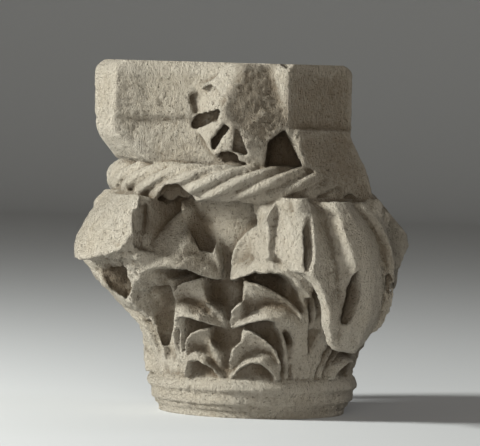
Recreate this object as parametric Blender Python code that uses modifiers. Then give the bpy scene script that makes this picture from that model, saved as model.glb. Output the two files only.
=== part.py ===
# Small weathered corinthian capital, carved from one block of limestone.
# The front face looks along -Y; angles run round from there towards +X; sizes are in millimetres here.
import math

import bmesh
import bpy
import numpy as np
from mathutils import Vector

for old in list(bpy.data.objects):
    bpy.data.objects.remove(old)

MM = 0.001
HEIGHT = 348.0
RING_TOP = 38.0
ROPE_BOTTOM = 215.0
TIER_BOTTOM = 249.0
SLAB_BOTTOM = 293.0
CORE_R = 118.0
SIDE_NEAR = 119.0
SIDE_CURVE_R = 312.0
CORNER_FROM = 110.7
ROPE_R = 132.0
ROPE_THICK = 17.0
ROPE_STRANDS = 4
ROPE_TURNS = 8
LEAF_ANGLES = (-135, -45, 45, 135)
PLAIN_SIDES = (-180, -90)
VOXEL = 2.4
ROSE_T = 25.0
ROSE_OUT = 148.0
ROSE_Z = 299.0
PETAL_STEP = 34.0
# the tooled slice through the rose: distance out, falling to the right and upwards
SLICE = (153.0, 0.455, 0.255)
TRIANGLES = 9300

# The three side lobes of half a leaf. Outlines are (degrees from the seam, height): the upper edge, the
# hollow and the lower edge. Radii are (degrees, radius) along each of those.
LOBES = (
    {
        "span": (2.6, 36),
        "top": (
            (2.4, 139), (2.8, 154), (4.2, 164), (6.3, 174), (10.1, 183), (14.7, 190), (16.9, 195),
            (18.4, 203), (21.2, 214), (24, 219), (36, 219),
        ),
        "hollow": ((2.6, 140), (5.5, 152), (9.1, 158), (12.8, 161), (17.2, 163), (22.1, 161), (27.2, 156), (31, 148), (36, 138)),
        "low": (
            (2.6, 137), (4.5, 136.5), (8.8, 140), (12.7, 144), (15.2, 148), (17, 146), (21, 147),
            (25.4, 145), (28, 141), (30, 134), (33, 129), (36, 120),
        ),
        "top_r": ((2.5, 117), (6, 123), (10, 131), (15, 146), (18.2, 157), (21, 157), (24, 164), (26.5, 174), (30, 178)),
        "hollow_r": ((2.5, 114), (6, 117), (10, 125), (15, 137), (18.2, 146), (21, 150), (25, 160), (28, 168), (34, 172)),
        "low_r": ((2.5, 117), (6, 125), (10, 133), (15, 144), (20, 152), (25, 158), (30, 160), (36, 158)),
        "cap": ((30, 250), (220, 250)),
    },
    {
        "span": (1.5, 41.2),
        "top": (
            (1.6, 97), (2.6, 106), (5.8, 112), (9.2, 116), (9.5, 138), (15.4, 134.5), (20.7, 130.5),
            (25.3, 125), (29.7, 118.5), (33.4, 111), (36.4, 104), (37.4, 96), (38, 88), (40.4, 68), (41.2, 42),
        ),
        "hollow": ((1.6, 91), (4, 92), (8.6, 102), (13, 108.5), (18.5, 113), (23.9, 115), (29, 113), (32.8, 108), (36, 99), (38, 70), (41, 38)),
        "low": (
            (1.6, 89), (4.2, 90), (8.7, 93), (13.1, 96.5), (18.8, 99), (23.1, 98), (27.3, 95),
            (32.3, 92), (35.1, 84), (36.1, 72), (36.7, 41), (36.9, 30), (42, 30),
        ),
        "top_r": ((1.6, 107), (6, 114), (9, 118), (15, 125), (20, 129), (27, 132), (37, 132)),
        "hollow_r": ((1.6, 103), (6, 106), (10, 109), (15, 113), (20, 117), (27, 121), (34, 124), (41, 124)),
        "low_r": ((1.6, 107), (6, 114), (12, 122), (20, 128), (27, 130), (33, 128), (41, 124)),
        "cap": ((30, 99), (45, 102), (62, 109), (80, 117), (100, 130), (140, 150)),
    },
    {
        "span": (2.3, 30.6),
        "top": (
            (2.4, 56), (3.4, 66), (5.6, 72), (8.2, 75), (8.4, 89), (13.2, 87), (17.7, 83), (22.1, 76.5),
            (26.6, 68), (28.8, 59), (31.1, 45),
        ),
        "hollow": ((2.4, 45), (4.3, 47), (7.4, 55), (12, 62), (18, 66), (24.1, 65), (27.8, 58), (30.5, 44)),
        "low": ((2.4, 40), (5.1, 43), (6.7, 48), (9.8, 52), (14.4, 56), (19.7, 55), (23.5, 49), (25.7, 44), (28, 36)),
        "top_r": ((2.4, 101), (8, 108), (14, 113), (20, 115), (26, 114), (31, 109)),
        "hollow_r": ((2.4, 96), (8, 99), (14, 103), (20, 105), (26, 106), (31, 103)),
        "low_r": ((2.4, 101), (8, 107), (14, 112), (20, 113), (26, 110), (31, 105)),
        "cap": ((30, 130), (100, 130)),
    },
)
# Raised lines round the hanging eyelets: (height, degrees), (height, radius) and half-width.
UPPER_RIDGE = ((40, 43.4), (64, 43.2), (82, 40.6), (100, 39.1), (114, 37), (129, 33.6))
UPPER_RIM = ((92, 43.2), (98, 43.6), (111, 41.9), (120, 39.4), (130, 35.4))
LOWER_RIDGE = ((40, 34.2), (55, 33.2), (68, 31.6), (82, 29.4), (95, 26.2))
LOWER_RIM = ((70, 35.9), (76, 35.6), (82, 34.5), (89, 31.6), (95, 27.4))
RIDGES = (
    (UPPER_RIDGE, ((40, 102), (64, 111), (82, 119), (100, 128), (114, 135), (129, 146)), 2.6),
    (UPPER_RIM, ((92, 121), (98, 125), (111, 132), (120, 139), (130, 148)), 2.0),
    (LOWER_RIDGE, ((40, 101), (55, 107), (68, 112), (82, 117), (95, 122)), 2.4),
    (LOWER_RIM, ((70, 113), (76, 116), (82, 118), (89, 121), (95, 124)), 1.7),
)
# Broken places on the left leaf: angle, height, half-width in degrees, half-height, depth.
HOLLOWS = ((-20, 206, 11, 20, 34), (-13, 176, 6, 16, 16))
BELL = ((30, 90), (45, 88.5), (80, 89), (120, 92), (160, 99), (190, 107), (215, 114), (262, 118))
BACK = ((38, 96), (60, 103), (80, 110), (98, 119), (110, 126), (130, 140), (150, 156), (170, 165))
HOOD = (
    (64, 160), (70, 167), (78, 174), (88, 181), (100, 187), (120, 193), (140, 195), (150, 195),
    (162, 193), (174, 188), (186, 182), (198, 173), (206, 162), (213, 148), (220, 130),
)


def at(points, x):
    xs, ys = zip(*points)
    return np.interp(x, xs, ys)


def ease(low, high, x):
    share = np.clip((x - low) / (high - low), 0, 1)
    return share * share * (3 - 2 * share)


def leaf_radius(phi, z, crisp=1.0):
    """Carved surface between the ring and the rope; phi runs from a seam (0) to a midrib (45)."""
    ground = at(BELL, z)
    # webs behind the eyelets, and the leaf's own back round its midrib
    web = ease(25, 30, phi) * 34 * ease(104, 112, z) * (1 - ease(134, 140, z))
    web = web + ease(19, 25, phi) * 15 * ease(64, 70, z) * (1 - ease(97, 101, z))
    inner = np.where(z > 98, at(UPPER_RIM, z), at(UPPER_RIDGE, z))
    form = ground + web * (phi < inner)
    hole = (phi > at(UPPER_RIDGE, z)) & (phi < at(UPPER_RIM, z)) & (z > 101) & (z < 130)
    hole = hole | ((phi > at(LOWER_RIDGE, z)) & (phi < at(LOWER_RIM, z)) & (z > 75) & (z < 95))
    form = np.where(hole, ground - 2, form)
    back = ease(-0.3, 0.6, phi - inner)
    form = form + (at(BACK, z) - form) * back
    below = (phi > at(LOWER_RIDGE, z)) & (phi < 36.2) & (z < 75)
    form = np.where(below, at(BACK, z) + 1, form)
    for lobe in reversed(LOBES):
        up, low = at(lobe["top"], phi), at(lobe["low"], phi)
        mid = np.clip(at(lobe["hollow"], phi), low + 1, np.maximum(up - 1, low + 1.5))
        up_r, mid_r, low_r = (at(lobe[key], phi) for key in ("top_r", "hollow_r", "low_r"))
        belly = low_r + (mid_r - low_r) * np.clip((z - low) / (mid - low), 0, 1) ** 2.2
        face = mid_r + (up_r - mid_r) * np.clip((z - mid) / np.maximum(up - mid, 1), 0, 1) ** 0.8
        radius = np.minimum(np.where(z < mid, belly, face), at(lobe["cap"], z))
        first, last = lobe["span"]
        live = ease(-crisp, 0, z - low) * (1 - ease(0, crisp, z - up))
        live = live * ease(first - 0.5, first, phi) * (1 - ease(last - 0.5, last + 0.2, phi))
        form = form + (radius - form) * live * (radius > form)
    for path, radii, half in RIDGES:
        away = np.abs(phi - at(path, z)) * 2.1
        high = at(radii, z) - 1.5 * (away / half) ** 2
        live = (1 - ease(half, half + crisp, away)) * (z < path[-1][0] + 1) * (z > path[0][0] - 1)
        form = np.maximum(form, form + (high - form) * live)
    slot = (1 - ease(0.5, 1.2, np.abs(phi - 36.6))) * (z < 56)
    form = form - 9 * slot
    return np.minimum(form, at(HOOD, z) / np.cos(np.radians(45 - phi)) - 1.5)


def mesh_object(name, points, faces):
    mesh = bpy.data.meshes.new(name)
    mesh.from_pydata([tuple(p) for p in points], [], [tuple(f) for f in faces])
    mesh.validate()
    obj = bpy.data.objects.new(name, mesh)
    bpy.context.scene.collection.objects.link(obj)
    return obj


def closed_stack(name, rings):
    """A solid through rings of equally many points, closed at both ends."""
    rings = np.asarray(rings, float)
    rows, count, _ = rings.shape
    faces = []
    for row in range(rows - 1):
        for col in range(count):
            nxt = (col + 1) % count
            faces.append((row * count + col, row * count + nxt, (row + 1) * count + nxt, (row + 1) * count + col))
    faces.append(tuple(reversed(range(count))))
    faces.append(tuple((rows - 1) * count + col for col in range(count)))
    return mesh_object(name, rings.reshape(-1, 3), faces)


def turned(name, profile, steps):
    """A solid of revolution of (radius, height) points, by the Screw modifier."""
    mesh = bpy.data.meshes.new(name)
    points = [(r, 0, z) for r, z in profile]
    mesh.from_pydata(points, [(i, i + 1) for i in range(len(points) - 1)], [])
    obj = bpy.data.objects.new(name, mesh)
    bpy.context.scene.collection.objects.link(obj)
    spin = obj.modifiers.new("turn", "SCREW")
    spin.steps = steps
    spin.render_steps = steps
    spin.use_merge_vertices = True
    spin.merge_threshold = 0.0001
    spin.use_normal_calculate = True
    return obj


def settle(obj):
    """Apply the modifiers of an object and give back its own mesh."""
    bpy.context.view_layer.update()
    graph = bpy.context.evaluated_depsgraph_get()
    mesh = bpy.data.meshes.new_from_object(obj.evaluated_get(graph))
    mesh.transform(obj.matrix_world)
    done = bpy.data.objects.new(obj.name + " made", mesh)
    bpy.context.scene.collection.objects.link(done)
    bpy.data.objects.remove(obj)
    return done


def joined(name, parts):
    """Overlapping closed solids made one outer surface."""
    total = bmesh.new()
    for part in parts:
        made = settle(part)
        total.from_mesh(made.data)
        bpy.data.objects.remove(made)
    bmesh.ops.recalc_face_normals(total, faces=total.faces)
    mesh = bpy.data.meshes.new(name)
    total.to_mesh(mesh)
    total.free()
    obj = bpy.data.objects.new(name, mesh)
    bpy.context.scene.collection.objects.link(obj)
    fuse = obj.modifiers.new("fuse", "REMESH")
    fuse.mode = "VOXEL"
    fuse.voxel_size = VOXEL
    return settle(obj)


def placed(beta, out, across, z):
    """Point at a distance out along the direction beta and a distance across it."""
    a = np.radians(beta)
    x = out * np.sin(a) + across * np.cos(a)
    y = -out * np.cos(a) + across * np.sin(a)
    return np.stack([x, y, z + 0 * x], -1)


def slab_ring(z, inset):
    """Outline of the top slab: four hollow sides and four cut corners."""
    points = []
    for beta in (-45, 45, 135, 225):
        for t in np.linspace(-CORNER_FROM, CORNER_FROM, 19):
            out = SIDE_NEAR + SIDE_CURVE_R - math.sqrt(SIDE_CURVE_R**2 - t * t)
            shrink = 1 - inset / 160
            points.append(placed(beta + 45, (out - inset * 0.7) * shrink**0.3, t * shrink, z))
    return points


# the turned block: ring, bell and neck
core = turned(
    "core",
    (
        (0, 212), (113, 212), (107, 190), (99, 160), (92, 120), (89, 80), (88.5, 45), (98, RING_TOP + 2), (101, RING_TOP - 1),
        (104, 34), (105.5, 29.5), (104, 25.5), (102, 24.6), (100.5, 13.4), (96.5, 13), (96.5, 7.8),
        (93, 7.4), (92.5, -4), (0, -4),
    ),
    128,
)

neck = turned(
    "neck",
    ((0, HEIGHT + 3), (CORE_R - 6, HEIGHT + 3), (CORE_R, TIER_BOTTOM), (CORE_R - 2, 222), (112, 208), (0, 208)),
    128,
)

# the leaves, one wrapped band from ring to rope
columns, rows = 720, 120
angles = np.arange(columns) * 360 / columns
levels = np.linspace(RING_TOP + 1, ROPE_BOTTOM + 5, rows)
grid_a, grid_z = np.meshgrid(angles, levels)
fold = np.abs((grid_a % 90) - 45)
radius = leaf_radius(45 - fold, grid_z)
turned_in = (grid_a + 180) % 360 - 180
for beta, high, wide, tall, depth in HOLLOWS:
    away = np.hypot((turned_in - beta) / wide, (grid_z - high) / tall)
    radius = np.maximum(radius - depth * (1 - ease(0.3, 1, away)), 96)
band_rings = placed(grid_a, radius, 0 * radius, grid_z)
closing = [placed(angles, np.full(columns, 70.0), 0 * angles, z) for z in (ROPE_BOTTOM + 5, RING_TOP + 1)]
band = closed_stack("leaves", [closing[1], *band_rings, closing[0]])

# the curled heads of the four leaves, each as far down as it survives: (across, height of its lower edge)
WHOLE = (
    (-66, 212), (-60, 186), (-56, 160), (-52, 130), (-46, 94), (-32, 80), (-20, 72), (20, 72), (32, 80),
    (46, 94), (52, 130), (56, 160), (60, 186), (66, 212),
)
RIGHT = (
    (-66, 212), (-59, 188), (-51, 168), (-46, 153), (-36, 138), (-30, 126), (-25, 112), (-21, 95), (-8, 80),
    (0, 72), (20, 70), (24, 72), (32, 80), (38, 87), (46, 92), (50, 100), (54, 120), (61, 160), (66, 190),
)
LEFT = ((-66, 196), (-56, 168), (-44, 152), (-36, 147), (-20, 150), (0, 146), (20, 152), (40, 168), (54, 190), (66, 212))
REAR = ((-66, 200), (-54, 172), (-38, 152), (-20, 142), (0, 132), (20, 128), (40, 150), (58, 176), (66, 212))
SURVIVING = {-135: WHOLE, -45: LEFT, 45: RIGHT, 135: REAR}
CREASE = ((70, 6), (100, 11), (150, 22), (205, 18))
RIDGE_AT = ((70, 24), (97, 27), (114, 30), (132, 36), (150, 42), (205, 41))


def flutes(q, z):
    """Depth below the head's smooth surface, at a distance across it and a height."""
    side = np.abs(q)
    crease, ridge = at(CREASE, z), at(RIDGE_AT, z)
    inner = ease(7, 8, side) * (side - 7) / np.maximum(crease - 7, 3)
    outer = (ridge - side) / np.maximum(ridge - crease, 3)
    depth = 8 * np.clip(np.where(side < crease, inner, outer), 0, 1)
    past = np.clip((side - ridge) / 7, 0, 1)
    depth = np.where(side > ridge, 5 * np.sin(np.pi * past), depth)
    slit = (1 - ease(1.5, 3.6, np.abs(side - ridge - 3))) * 14 * ease(148, 154, z) * (1 - ease(196, 203, z))
    rib = (1 - ease(2.5, 5, np.abs(q + 2))) * 20 * ease(94, 100, z) * (1 - ease(134, 144, z))
    return (depth + slit) * (1 - ease(196, 213, z)) + rib


heads = []
for beta in LEAF_ANGLES:
    stations = []
    for q in np.linspace(-66, 66, 89):
        tip = float(at(SURVIVING[beta], q))
        side = 24 * ease(52, 67, abs(q)) + 5 * (q / 50) ** 2
        line_z = np.linspace(216, tip, 60)
        outer = at(HOOD, line_z) - side - flutes(q, line_z)
        if beta == 135:
            outer = np.minimum(outer, 170 + q * 0.25)
        back_z = np.linspace(tip, 154, 16)
        thick = 14 + 16 * (back_z - tip) / 60
        inner = np.minimum(at(HOOD, back_z) - side - thick, outer[-1] - 7)
        section = [*zip(outer, line_z), *zip(inner, back_z), (108, 160), (108, 205)]
        stations.append([placed(beta, p, q, z) for p, z in section])
    heads.append(closed_stack("curled head", stations))
leaves = joined("leaf body", [core, band, *heads])

# the slab: a hollowed lower tier and the thicker upper one
tiers = [slab_ring(TIER_BOTTOM - 2, 26), slab_ring(TIER_BOTTOM + 10, 17), slab_ring(270, 9), slab_ring(SLAB_BOTTOM - 3, 5)]
tiers += [slab_ring(SLAB_BOTTOM, 2), slab_ring(SLAB_BOTTOM + 6, 0), slab_ring(HEIGHT - 6, 0), slab_ring(HEIGHT, 3), slab_ring(HEIGHT + 3, 3)]
slab = closed_stack("slab", tiers)

# worn lumps under its corners, where the scrolls were
stubs = []
for beta in LEAF_ANGLES:
    bpy.ops.mesh.primitive_cube_add(size=2)
    stub = bpy.context.object
    stub.scale = (43, 50, 52)
    stub.location = placed(beta, 125, 0, 284)
    stub.rotation_euler = (0, 0, math.radians(beta))
    round_off = stub.modifiers.new("round", "SUBSURF")
    round_off.levels = 3
    round_off.render_levels = 3
    stubs.append(stub)

# the roses on the plain sides
roses = []
for beta in PLAIN_SIDES:
    rings = []
    for out, spread in ((85, 1), (125, 1), (134, 0.98), (141, 0.9), (146, 0.74), (ROSE_OUT, 0.45), (146, 0.12)):
        turn = np.linspace(0, 2 * math.pi, 64, endpoint=False)
        petal = 1 - 0.12 * (0.5 - 0.5 * np.cos(turn * 8)) * (spread > 0.3)
        t = 47 * spread * petal * np.cos(turn)
        z = 300 + 47 * spread * petal * np.sin(turn)
        rings.append(placed(beta, np.full(64, float(out)), t, np.minimum(z, HEIGHT - 2)))
    roses.append(closed_stack("rose", rings))

# the front rose: half its petals are left, the rest is sliced away
rose_t, rose_z = np.meshgrid(np.linspace(-48, 66, 77), np.linspace(246, HEIGHT - 1, 69))
spoke = np.degrees(np.arctan2(rose_z - ROSE_Z, rose_t - ROSE_T))
spread = np.hypot(rose_t - ROSE_T, rose_z - ROSE_Z)
petal = np.abs((spoke - 157) / PETAL_STEP - np.round((spoke - 157) / PETAL_STEP)) * 2
reach = 53 - 7 * petal**1.5
cell = (1 - ease(0.45, 0.8, petal)) * ease(12, 22, spread) * (1 - ease(reach - 14, reach - 4, spread))
cell = cell * (rose_t < ROSE_T + 6) * (rose_z < 332)
face = ROSE_OUT - 13 * cell - 8 * ease(30, 55, spread)
face = np.where(spread > reach, face - 60 * ease(0, 5, spread - reach), face)
face = np.minimum(face, SLICE[0] - SLICE[1] * rose_t - SLICE[2] * (rose_z - 290))
face = np.maximum(face, 92)
rose_rings = []
for col in range(77):
    front = placed(0, face[:, col], rose_t[:, col], rose_z[:, col])
    ends = placed(0, np.array([88.0, 88.0]), rose_t[:2, col], np.array([HEIGHT - 1, 246.0]))
    rose_rings.append([*front, *ends])
roses.append(closed_stack("front rose", rose_rings))

# the rope under the slab: strands winding round one ring
strands = []
for strand in range(ROPE_STRANDS):
    curve = bpy.data.curves.new("strand", "CURVE")
    curve.dimensions = "3D"
    curve.bevel_depth = 9.0
    curve.bevel_resolution = 3
    spline = curve.splines.new("POLY")
    count = 360
    spline.points.add(count - 1)
    for i in range(count):
        a = 2 * math.pi * i / count
        wind = ROPE_TURNS * a + 2 * math.pi * strand / ROPE_STRANDS
        r = ROPE_R + 8.5 * math.cos(wind)
        z = (ROPE_BOTTOM + TIER_BOTTOM) / 2 + 8.5 * math.sin(wind)
        spline.points[i].co = (r * math.sin(a), -r * math.cos(a), z, 1)
    spline.use_cyclic_u = True
    rope = bpy.data.objects.new("strand", curve)
    bpy.context.scene.collection.objects.link(rope)
    strands.append(rope)
upper = joined("upper body", [neck, slab, *stubs, *roses, *strands])


def wedge(name, beta, points):
    """A cutter standing outside a line of (distance, height) that faces beta."""
    rings = []
    for across in (-220, 220):
        line = [placed(beta, d, across, z) for d, z in points]
        line += [placed(beta, 300, across, points[-1][1]), placed(beta, 300, across, points[0][1])]
        rings.append(line)
    return closed_stack(name, rings)


cutters = bpy.data.collections.new("cutters")
bpy.context.scene.collection.children.link(cutters)
cutters.hide_render = True
upper_breaks = (
    wedge("corner break", 45, ((164, 205), (152, 226), (138, 246), (134, 262), (132, 300), (129, 345), (128, 360))),
    wedge("side break", 105, ((117, 205), (114, 228), (110, 250), (104, 268), (97, 290), (91, 304), (90, 360))),
)
leaf_breaks = (
    wedge("right break", 105, ((100, 46), (107, 62), (114, 78), (126, 90), (138, 108), (143, 125), (145, 148), (152, 168), (150, 180), (141, 190), (127, 206), (112, 225))),
    wedge("left break", -75, ((107, 40), (111, 76), (116, 88), (131, 101), (146, 120), (160, 131), (164, 141), (177, 150), (183, 163), (180, 178), (168, 200), (146, 225))),
)
for body, tools in ((upper, upper_breaks), (leaves, leaf_breaks)):
    for cutter in tools:
        cutter.display_type = "WIRE"
        cutter.hide_render = True
        bpy.context.scene.collection.objects.unlink(cutter)
        cutters.objects.link(cutter)
        cut = body.modifiers.new(cutter.name, "BOOLEAN")
        cut.operation = "DIFFERENCE"
        cut.solver = "EXACT"
        cut.object = cutter

# one body, thinned to its shape, then cut flat above and below
whole = joined("whole", [upper, leaves])
thin = whole.modifiers.new("thin", "DECIMATE")
thin.ratio = TRIANGLES / (2 * len(whole.data.polygons))
whole = settle(whole)
form = bmesh.new()
form.from_mesh(whole.data)
bpy.data.objects.remove(whole)
for height, up in ((0, -1), (HEIGHT, 1)):
    cut = bmesh.ops.bisect_plane(
        form,
        geom=form.verts[:] + form.edges[:] + form.faces[:],
        plane_co=(0, 0, height),
        plane_no=(0, 0, up),
        clear_outer=True,
    )
    rim = [item for item in cut["geom_cut"] if isinstance(item, bmesh.types.BMEdge)]
    bmesh.ops.holes_fill(form, edges=rim, sides=0)
bmesh.ops.scale(form, vec=Vector((MM, MM, MM)), verts=form.verts)
bmesh.ops.triangulate(form, faces=form.faces[:])
bmesh.ops.recalc_face_normals(form, faces=form.faces)
mesh = bpy.data.meshes.new("capital")
form.to_mesh(mesh)
form.free()
capital = bpy.data.objects.new("capital", mesh)

stone = bpy.data.materials.new("limestone")
stone.use_nodes = True
shader = stone.node_tree.nodes["Principled BSDF"]
shader.inputs["Base Color"].default_value = (0.62, 0.55, 0.45, 1)
shader.inputs["Roughness"].default_value = 0.9
mesh.materials.append(stone)
group = bpy.data.collections.new("corinthian capital")
bpy.context.scene.collection.children.link(group)
group.objects.link(capital)
for obj in list(bpy.data.objects):
    if obj.name != "capital":
        bpy.data.objects.remove(obj)
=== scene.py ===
import math

import bmesh
import bpy
import numpy as np
from mathutils import Matrix, Vector
from mathutils.bvhtree import BVHTree


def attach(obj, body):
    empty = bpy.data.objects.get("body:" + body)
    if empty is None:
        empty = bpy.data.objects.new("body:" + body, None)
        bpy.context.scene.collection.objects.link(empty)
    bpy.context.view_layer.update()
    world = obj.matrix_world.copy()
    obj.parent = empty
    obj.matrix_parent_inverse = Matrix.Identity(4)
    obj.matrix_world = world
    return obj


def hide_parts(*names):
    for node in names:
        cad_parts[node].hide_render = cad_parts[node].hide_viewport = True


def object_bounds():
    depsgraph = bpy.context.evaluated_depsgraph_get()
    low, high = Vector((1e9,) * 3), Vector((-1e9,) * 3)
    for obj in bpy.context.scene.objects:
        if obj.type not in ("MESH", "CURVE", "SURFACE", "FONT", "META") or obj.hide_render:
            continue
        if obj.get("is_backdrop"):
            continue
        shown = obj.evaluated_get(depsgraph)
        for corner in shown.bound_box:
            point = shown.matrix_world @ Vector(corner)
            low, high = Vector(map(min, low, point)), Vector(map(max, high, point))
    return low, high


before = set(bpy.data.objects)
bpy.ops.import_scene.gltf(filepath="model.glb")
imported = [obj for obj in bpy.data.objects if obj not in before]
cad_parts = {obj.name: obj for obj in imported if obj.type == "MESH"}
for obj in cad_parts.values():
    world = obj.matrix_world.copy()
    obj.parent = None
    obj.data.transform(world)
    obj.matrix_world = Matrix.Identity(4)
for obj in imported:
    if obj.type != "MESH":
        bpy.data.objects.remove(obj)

cad_low, cad_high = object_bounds()

# The foot ring and bell. A drum of pale limestone is turned first: a foot ring with a fillet, a flat band, a
# ledge and a half-round, and above it the plain bell that the leaves are cut against. All shaping is in
# millimetres until the block is finished; the front looks along -Y and bearings run from there towards +X.
MM = 0.001
HEIGHT = 348.0
RING_TOP = 38.0
TURN_STEPS = 240


def shown(name, mesh):
    obj = bpy.data.objects.new(name, mesh)
    bpy.context.scene.collection.objects.link(obj)
    return obj


def settle(obj):
    """The object's modifiers made into its own mesh, at the origin."""
    bpy.context.view_layer.update()
    graph = bpy.context.evaluated_depsgraph_get()
    mesh = bpy.data.meshes.new_from_object(obj.evaluated_get(graph))
    mesh.transform(obj.matrix_world)
    name = obj.name
    bpy.data.objects.remove(obj)
    return shown(name, mesh)


def turned(name, profile):
    """A solid of revolution of (radius, height) points, by the Screw modifier."""
    mesh = bpy.data.meshes.new(name)
    mesh.from_pydata([(r, 0, z) for r, z in profile], [(i, i + 1) for i in range(len(profile) - 1)], [])
    obj = shown(name, mesh)
    spin = obj.modifiers.new("turn", "SCREW")
    spin.steps = TURN_STEPS
    spin.render_steps = TURN_STEPS
    spin.use_merge_vertices = True
    spin.merge_threshold = 0.0001
    spin.use_normal_calculate = True
    return settle(obj)


FOOT_PROFILE = (
    (0, 212), (113, 212), (107, 190), (99, 160), (92, 120), (89, 80), (88.5, 45), (97, RING_TOP + 3),
    (101.5, RING_TOP), (104.5, 33.5), (105.5, 29.5), (105, 27), (102.6, 25.2), (101.4, 24), (100.6, 13.6),
    (97.4, 12.6), (96.6, 11.4), (96.4, 8), (93.4, 6.8), (92.5, 3), (92, -4), (0, -4),
)
NECK_PROFILE = ((0, 260), (114, 260), (116, 249), (115, 222), (112, 208), (0, 208))
foot_and_bell = turned("foot ring and bell", FOOT_PROFILE)
neck = turned("neck", NECK_PROFILE)


# The acanthus leaves. Four stand at the corners, each cut in two mirrored halves that meet along a seam in
# the middle of every side. A half has three side lobes with thin upper rims, scooped faces and full lower
# lips, two hanging eyelets between them, and ribs that run down to the foot ring. The left front leaf's
# near half is narrower, and has a plain hollow flute where the others have an upper eyelet.
def at(points, x):
    xs, ys = zip(*points)
    return np.interp(x, xs, ys)


def ease(low, high, x):
    share = np.clip((x - low) / (high - low), 0, 1)
    return share * share * (3 - 2 * share)


def placed(bearing, out, across, z):
    """Points at a distance out along a bearing and a distance across it."""
    turn = np.radians(bearing)
    x = out * np.sin(turn) + across * np.cos(turn)
    y = -out * np.cos(turn) + across * np.sin(turn)
    return np.stack([x, y, z + 0 * x], -1)


def closed_stack(name, rings):
    """A solid through rings of equally many points, closed at both ends, with its faces outward."""
    rings = np.asarray(rings, float)
    rows, count, _ = rings.shape
    grid = np.arange(rows * count).reshape(rows, count)
    beside = np.roll(grid, -1, axis=1)
    sides = np.stack([grid[:-1], beside[:-1], beside[1:], grid[1:]], -1).reshape(-1, 4)
    faces = [tuple(face) for face in sides.tolist()]
    faces.append(tuple(grid[0][::-1].tolist()))
    faces.append(tuple(grid[-1].tolist()))
    mesh = bpy.data.meshes.new(name)
    mesh.from_pydata(rings.reshape(-1, 3).tolist(), [], faces)
    form = bmesh.new()
    form.from_mesh(mesh)
    bmesh.ops.recalc_face_normals(form, faces=form.faces)
    form.to_mesh(mesh)
    form.free()
    return shown(name, mesh)


SIDE_LOBES = (
    {
        "span": (2.4, 36),
        "top": (
            (2.4, 139), (2.6, 154), (4.0, 164), (6.3, 174), (10.1, 183), (14.7, 190), (16.9, 195),
            (18.4, 203), (21.2, 214), (24, 219), (36, 219),
        ),
        "hollow": (
            (2.6, 140), (5.5, 152), (9.1, 158), (12.8, 161), (17.2, 163), (22.1, 161), (27.2, 156), (31, 148),
            (36, 138),
        ),
        "low": (
            (2.6, 137), (4.5, 136.5), (8.8, 140), (12.7, 144), (15.2, 148), (17, 146), (21, 147),
            (25.4, 145), (28, 141), (30, 134), (33, 129), (36, 120),
        ),
        "top_r": (
            (2.5, 117), (6, 121), (10, 125), (14, 131), (18, 156), (19, 155), (22, 149), (25, 156),
            (28, 166), (30, 168),
        ),
        "hollow_r": (
            (2.5, 113), (6, 115), (10, 119), (15, 128), (18.2, 146), (20, 148), (22, 148), (25, 155),
            (28, 164), (34, 168),
        ),
        "low_r": ((2.5, 118), (6, 126), (10, 134), (15, 145), (20, 153), (25, 159), (30, 160), (36, 158)),
        "cap": ((30, 250), (220, 250)), "rim": 1.5,
    },
    {
        "span": (1.2, 41.2),
        "top": (
            (1.4, 97), (2.6, 106), (5.8, 112), (9.0, 116), (9.4, 138), (15.4, 134.5), (20.7, 130.5),
            (25.3, 125), (29.7, 118.5), (33.4, 111), (36.4, 104), (37.4, 96), (38, 88), (40.4, 68),
            (41.2, 42),
        ),
        "hollow": (
            (1.4, 91), (4, 92), (8.6, 102), (13, 108.5), (18.5, 113), (23.9, 115), (29, 113), (32.8, 108),
            (36, 99), (38, 70), (41, 38),
        ),
        "low": (
            (1.4, 89), (4.2, 90), (8.7, 93), (13.1, 96.5), (18.8, 99), (23.1, 98), (27.3, 95),
            (32.3, 92), (35.1, 84), (36.1, 72), (36.7, 41), (36.9, 30), (42, 30),
        ),
        "top_r": ((1.4, 112), (4, 120), (9, 126), (15, 130), (20, 132), (27, 133), (37, 132)),
        "hollow_r": ((1.4, 103), (6, 106), (10, 108), (15, 110), (20, 113), (27, 118), (34, 122), (41, 124)),
        "low_r": ((1.4, 108), (6, 116), (12, 125), (20, 131), (27, 132), (33, 129), (41, 124)),
        "cap": ((30, 99), (45, 102), (62, 109), (80, 117), (100, 130), (140, 150)), "rim": 2.5,
    },
    {
        "span": (2.0, 30.6),
        "top": (
            (2.2, 56), (3.2, 66), (5.6, 72), (8.0, 75), (8.3, 89), (13.2, 87), (17.7, 83), (22.1, 76.5),
            (26.6, 68), (28.8, 59), (31.1, 45),
        ),
        "hollow": ((2.2, 45), (4.3, 47), (7.4, 55), (12, 62), (18, 66), (24.1, 65), (27.8, 58), (30.5, 44)),
        "low": (
            (2.2, 40), (5.1, 43), (6.7, 48), (9.8, 52), (14.4, 56), (19.7, 55), (23.5, 49), (25.7, 44),
            (28, 36),
        ),
        "top_r": ((2.2, 106), (5, 112), (14, 116), (20, 117), (26, 115), (31, 110)),
        "hollow_r": ((2.2, 95), (8, 97), (14, 98), (20, 100), (26, 102), (31, 101)),
        "low_r": ((2.2, 102), (8, 109), (14, 114), (20, 115), (26, 111), (31, 106)),
        "cap": ((30, 130), (100, 130)), "rim": 2.0,
    },
)
UPPER_RIDGE = ((40, 43.4), (64, 43.2), (82, 40.6), (100, 39.1), (114, 37), (129, 33.6))
UPPER_RIM = ((92, 43.2), (98, 43.6), (111, 41.9), (120, 39.4), (130, 35.4))
LOWER_RIDGE = ((40, 34.2), (55, 33.2), (68, 31.6), (82, 29.4), (95, 26.2))
LOWER_RIM = ((70, 35.9), (76, 35.6), (82, 34.5), (89, 31.6), (95, 27.4))
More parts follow.
